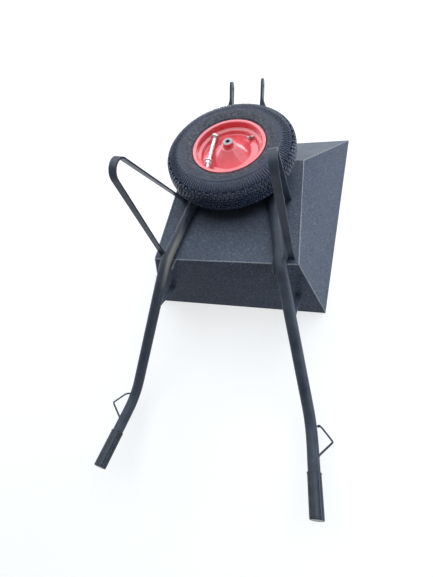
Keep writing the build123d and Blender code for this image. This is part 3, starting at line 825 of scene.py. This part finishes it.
class Section:
    """Outer section of the tyre's upper half, from the crown at 0 out to the bead."""

    def __init__(self):
        edge = (TREAD_EDGE_RADIUS, TYRE_HALF * TREAD_EDGE_SHARE)
        shoulder = (SHOULDER_RADIUS, TYRE_HALF * SHOULDER_SHARE)
        belly = ((SHOULDER_RADIUS + RIM_RADIUS) / 2, TYRE_HALF)
        lip = (RIM_RADIUS + 0.001, TYRE_HALF * LIP_SHARE)
        crown = arc_through((edge[0], -edge[1]), (TYRE_RADIUS, 0), edge, 24)[12:]
        self.points = crown + arc_through(shoulder, belly, lip, 30)
        self.marks = [0.0]
        for (ar, az), (br, bz) in zip(self.points, self.points[1:]):
            self.marks.append(self.marks[-1] + math.hypot(br - ar, bz - az))
        self.length = self.marks[-1]

    def at(self, distance):
        """(radius, height, outward radius, outward height) at a distance from the crown."""
        side = -1 if distance < 0 else 1
        along = min(abs(distance), self.length - 1e-6)
        k = max(i for i, mark in enumerate(self.marks[:-1]) if mark <= along)
        share = (along - self.marks[k]) / (self.marks[k + 1] - self.marks[k])
        (ar, az), (br, bz) = self.points[k], self.points[k + 1]
        run = math.hypot(br - ar, bz - az)
        return (
            ar + (br - ar) * share,
            side * (az + (bz - az) * share),
            (bz - az) / run,
            side * (ar - br) / run,
        )


SECTION = Section()


def tyre_point(angle, distance, height):
    """Place on the tyre at an angle, a distance from the crown and a height over the surface."""
    radius, z, out_r, out_z = SECTION.at(distance)
    radius += out_r * height
    z += out_z * height
    return TYRE_CENTRE + Vector((radius * math.cos(angle), radius * math.sin(angle), z))


def carcass_depth(distance):
    """How far the carcass lies under the tyre's outline: deep under tread, shallow at the side."""
    if distance < LUG_END - 0.004:
        return TREAD_DEPTH
    if distance < LUG_END + 0.002:
        return TREAD_DEPTH + (RIB_HEIGHT - TREAD_DEPTH) * (distance - LUG_END + 0.004) / 0.006
    if distance < RIB_END + 0.0005:
        return RIB_HEIGHT
    return RIB_HEIGHT * (0.6 if abs(distance - SECTION.length + LINE_SETBACK) > LINE_HALF else 0.0)


def carcass():
    """Closed ring section of the tyre under its tread, turned about the axle."""
    steps = 90
    outer = []
    for k in range(-steps, steps + 1):
        distance = SECTION.length * k / steps
        radius, z, out_r, out_z = SECTION.at(distance)
        depth = carcass_depth(abs(distance))
        outer.append((radius - out_r * depth, z - out_z * depth))
    lip = TYRE_HALF - BEAD_LIP_DROP
    seat = TYRE_HALF - BEAD_SEAT_DROP
    bead = [
        (RIM_RADIUS + 0.0006, lip),
        (RIM_RADIUS - 0.0035, lip),
        (RIM_RADIUS - 0.0037, seat),
        (BEAD_RADIUS + 0.0026, seat),
        (BEAD_RADIUS, seat - 0.0026),
        (BEAD_RADIUS, seat - 0.0128),
    ]
    inner = []
    for k in range(-12, 13):
        distance = (SECTION.length - 0.010) * k / 12
        radius, z, out_r, out_z = SECTION.at(distance)
        depth = TREAD_WALL if abs(distance) < LUG_END else SIDE_WALL
        inner.append((radius - out_r * depth, z - out_z * depth))
    loop = outer + bead + inner[::-1] + [(r, -z) for r, z in reversed(bead)]
    turns = TREAD_COUNT * 3
    vertices = []
    for turn in range(turns):
        angle = 2 * math.pi * turn / turns
        flat = Vector((math.cos(angle), math.sin(angle), 0))
        vertices += [TYRE_CENTRE + flat * r + Vector((0, 0, z)) for r, z in loop]
    return vertices, joined_rings(turns, len(loop), closed_along=True)


def block(outline, low, vertices, faces):
    """Tread block over an outline of (distance round, distance across), bevelled at its top."""
    fine = []
    for start, end in zip(outline, outline[1:] + outline[:1]):
        for share in (0, 0.5):
            fine.append(tuple(a + (b - a) * share for a, b in zip(start, end)))
    middle = tuple(sum(p[k] for p in fine) / len(fine) for k in (0, 1))
    reach = min(math.dist(p, middle) for p in fine)
    inset = [tuple(a + (b - a) * TREAD_BEVEL * 1.3 / reach for a, b in zip(p, middle)) for p in fine]
    first = len(vertices)
    for ring, height in ((fine, low), (fine, -TREAD_BEVEL), (inset, 0.0)):
        vertices += [tyre_point(a / TYRE_RADIUS, s, height) for a, s in ring]
    size = len(fine)
    faces += joined_rings(3, size, first=first)
    vertices.append(tyre_point(middle[0] / TYRE_RADIUS, middle[1], 0.0))
    top = first + 2 * size
    faces += [(top + k, top + (k + 1) % size, len(vertices) - 1) for k in range(size)]


def jittered(outline):
    """The same outline with its corners moved a little at random, as moulded rubber has after use."""
    return [
        (a + chance.uniform(-1, 1) * TREAD_JITTER, s + chance.uniform(-1, 1) * TREAD_JITTER)
        for a, s in outline
    ]


def tread_outlines(place, number):
    """Outlines of one pitch of the tread: a centre row, two rows beside it, and lugs on each side."""
    pitch = 2 * math.pi * TYRE_RADIUS / TREAD_COUNT
    half = pitch * 0.39
    a = place
    b = place + pitch / 2
    slant = TREAD_SLANT
    yield [(a - half, -0.0048), (a + half, -0.0048), (a + half + slant, 0), (a + half, 0.0048),
           (a - half, 0.0048), (a - half + slant, 0)]
    end = LUG_END if number % 2 == 0 else LUG_END - 0.003
    # middle of each row's near and far edge, the two distances across, and the far edge's half
    rows = (
        (b, b + slant, 0.0070, 0.0148, half),
        (a, a - slant, 0.0170, 0.0258, half),
        (b, b, 0.0280, end, half * 0.9),
    )
    for side in (-1, 1):
        for near, far, low, high, far_half in rows:
            yield [(near - half, side * low), (near + half, side * low),
                   (far + far_half, side * high), (far - far_half, side * high)]


def shoulder_rib(number, side, vertices, faces):
    """Low rounded rib on the side wall, in line with the axle, fading out at both ends."""
    pitch = 2 * math.pi / RIB_COUNT
    middle = pitch * number
    first = len(vertices)
    end = RIB_END - (0.005 if number % 2 else 0.0)
    base = -RIB_HEIGHT * 1.15
    rows = ((0.0, 0.0), (0.06, 0.9), (0.3, 1.0), (0.6, 1.0), (0.85, 0.9), (1.0, 0.0))
    across = ((-0.36, 0.0), (-0.22, 0.8), (0.0, 1.0), (0.22, 0.8), (0.36, 0.0))
    for share, tall in rows:
        distance = side * (RIB_START + (end - RIB_START) * share)
        for turn, height in across:
            vertices.append(tyre_point(middle + turn * pitch, distance, base * (1 - tall * height)))
    for k in range(len(rows) - 1):
        for j in range(len(across) - 1):
            here = first + k * len(across) + j
            faces.append((here, here + 1, here + len(across) + 1, here + len(across)))


def add_tyre():
    """Carcass, tread blocks and shoulder ribs as one moulded piece in place of the CAD tyre."""
    vertices, faces = carcass()
    pitch = 2 * math.pi * TYRE_RADIUS / TREAD_COUNT
    for number in range(TREAD_COUNT):
        for outline in tread_outlines(pitch * number, number):
            block(jittered(outline), -TREAD_DEPTH - BLOCK_SINK, vertices, faces)
    for number in range(RIB_COUNT):
        for side in (-1, 1):
            shoulder_rib(number, side, vertices, faces)
    tyre = add_piece("tyre_moulded", vertices, faces, "tyre_rubber", "wheel", 32)
    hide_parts("tyre")


# ---------------------------------------------------------------- loose axle bolt
class Shank:
    """The loose bolt's own axis, found from the middles of its two washers."""

    def __init__(self):
        head, nut = (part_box(f"axle_{end}_washer") for end in ("head", "nut"))
        self.start = (head[0] + head[1]) / 2
        self.along = ((nut[0] + nut[1]) / 2 - self.start).normalized()
        self.out = (Vector((0, 0, 1)) - self.along * self.along.z).normalized()
        self.side = self.along.cross(self.out)

    def place(self, turn, radius, distance):
        """Point at a turn and a radius about the axis, and a distance along it."""
        spoke = self.side * math.cos(turn) + self.out * math.sin(turn)
        return self.start + self.along * distance + spoke * radius

    def reach(self, node, beyond=-1.0):
        """Least and greatest distance along the axis, and the greatest radius past a distance."""
        offsets = [v.co - self.start for v in NODES[node].data.vertices]
        along = [o.dot(self.along) for o in offsets]
        radii = [(o - self.along * t).length for o, t in zip(offsets, along) if t > beyond]
        return min(along), max(along), max(radii)


def hex_radius(turn, corner_radius):
    """Radius of a hexagon with a corner at turn 0."""
    sixth = math.pi / 3
    return corner_radius * math.cos(sixth / 2) / math.cos(turn % sixth - sixth / 2)


def hex_ring(shank, corner_radius, distance, way):
    """Ring round a hexagon whose corners are turned down away from an end face."""
    face = corner_radius * HEX_FACE
    ring = []
    for k in range(HEX_STEPS):
        turn = 2 * math.pi * k / HEX_STEPS
        radius = hex_radius(turn, corner_radius)
        ring.append(shank.place(turn, radius, distance + way * (radius - face) * HEX_DROP))
    return ring


def plain_ring(shank, radius, distance):
    """Ring with as many points as a hexagon's; the radius is a number or depends on the turn."""
    turns = [2 * math.pi * k / HEX_STEPS for k in range(HEX_STEPS)]
    return [shank.place(t, radius(t) if callable(radius) else radius, distance) for t in turns]


def add_bolt():
    """Chamfered hex head, plain shank and rolled thread, in place of the plain CAD bolt."""
    shank = Shank()
    top, tip, corner_radius = shank.reach("axle_bolt")
    under = shank.reach("axle_head_washer")[0]
    radius = shank.reach("axle_bolt", beyond=(under + tip) / 2)[2]
    face = corner_radius * HEX_FACE
    vertices = plain_ring(shank, face, top) + hex_ring(shank, corner_radius, top, 1)
    vertices += plain_ring(shank, lambda turn: hex_radius(turn, corner_radius), under)
    faces = joined_rings(3, HEX_STEPS)
    faces.append(tuple(range(HEX_STEPS)))
    faces.append(tuple(reversed(range(2 * HEX_STEPS, 3 * HEX_STEPS))))
    first = len(vertices)
    thread_start = tip - THREAD_LENGTH
    stops = [under, thread_start - THREAD_PITCH]
    steps = round(THREAD_LENGTH / THREAD_PITCH * 8)
    stops += [thread_start + THREAD_LENGTH * k / steps for k in range(steps + 1)]
    for distance in stops:
        for k in range(THREAD_SIDES):
            turn = 2 * math.pi * k / THREAD_SIDES
            phase = ((distance - thread_start) / THREAD_PITCH - turn / (2 * math.pi)) % 1.0
            deep = THREAD_DEPTH * abs(2 * phase - 1) if distance >= thread_start else 0.0
            deep *= min(1.0, max(0.0, (distance - thread_start) / (2 * THREAD_PITCH)))
            taper = max(0.0, distance - (tip - THREAD_TIP))
            vertices.append(shank.place(turn, min(radius - deep, radius - taper), distance))
    faces += joined_rings(len(stops), THREAD_SIDES, first=first)
    faces.append(tuple(range(first, first + THREAD_SIDES)))
    faces.append(tuple(reversed(range(len(vertices) - THREAD_SIDES, len(vertices)))))
    bolt = add_piece("axle_bolt_threaded", vertices, faces, "zinc_plate", "axle_bolt", 25)
    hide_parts("axle_bolt")


def add_nut():
    """Hex nut with both faces chamfered, in place of the plain CAD nut."""
    shank = Shank()
    near, far, corner_radius = shank.reach("axle_nut")
    top, tip = shank.reach("axle_bolt")[:2]
    bore = shank.reach("axle_bolt", beyond=(top + tip) / 2)[2] + NUT_BORE_GAP
    face = corner_radius * HEX_FACE
    rings = [
        plain_ring(shank, bore, near),
        plain_ring(shank, face, near),
        hex_ring(shank, corner_radius, near, 1),
        hex_ring(shank, corner_radius, far, -1),
        plain_ring(shank, face, far),
        plain_ring(shank, bore, far),
    ]
    vertices = [point for ring in rings for point in ring]
    faces = joined_rings(len(rings), HEX_STEPS, closed_along=True)
    nut = add_piece("axle_nut_chamfered", vertices, faces, "zinc_plate", "axle_bolt", 25)
    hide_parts("axle_nut")


# ---------------------------------------------------------------- assembly of the scene
add_camera()
add_world()
add_softbox("sky_panel", (-0.2, 1.3, 3.2), (0, 0.3, 0.3), (4.8, 4.4), 142)
add_softbox("window", (1.7, 0.75, 2.4), (0, 0.2, 0.4), (1.8, 1.3), 8, (0.60, 0.79, 1.0))
add_softbox("right_strip", (1.6, -0.5, 0.35), (0.0, -0.3, 0.25), (2.6, 0.3), 14, (0.74, 0.87, 1.0))
add_softbox("right_bounce", (1.15, -0.6, 0.01), (1.15, -0.599, 1.0), (1.4, 2.0), 3)
add_softbox("left_strip", (-2.3, 0.8, 1.0), (0.0, 0.1, 0.3), (2.6, 0.8), 18, (0.80, 0.90, 1.0))
add_softbox("front_fill", (1.6, 2.5, 1.3), (0, 0.3, 0.4), (2.0, 0.7), 24)
add_floor()
dress_nodes()
tray_seams()
leg_welds()
small_welds()
tube_welds()
hub_welds()
add_tyre()
add_bolt()
add_nut()

bpy.context.scene.view_settings.view_transform = "Standard"
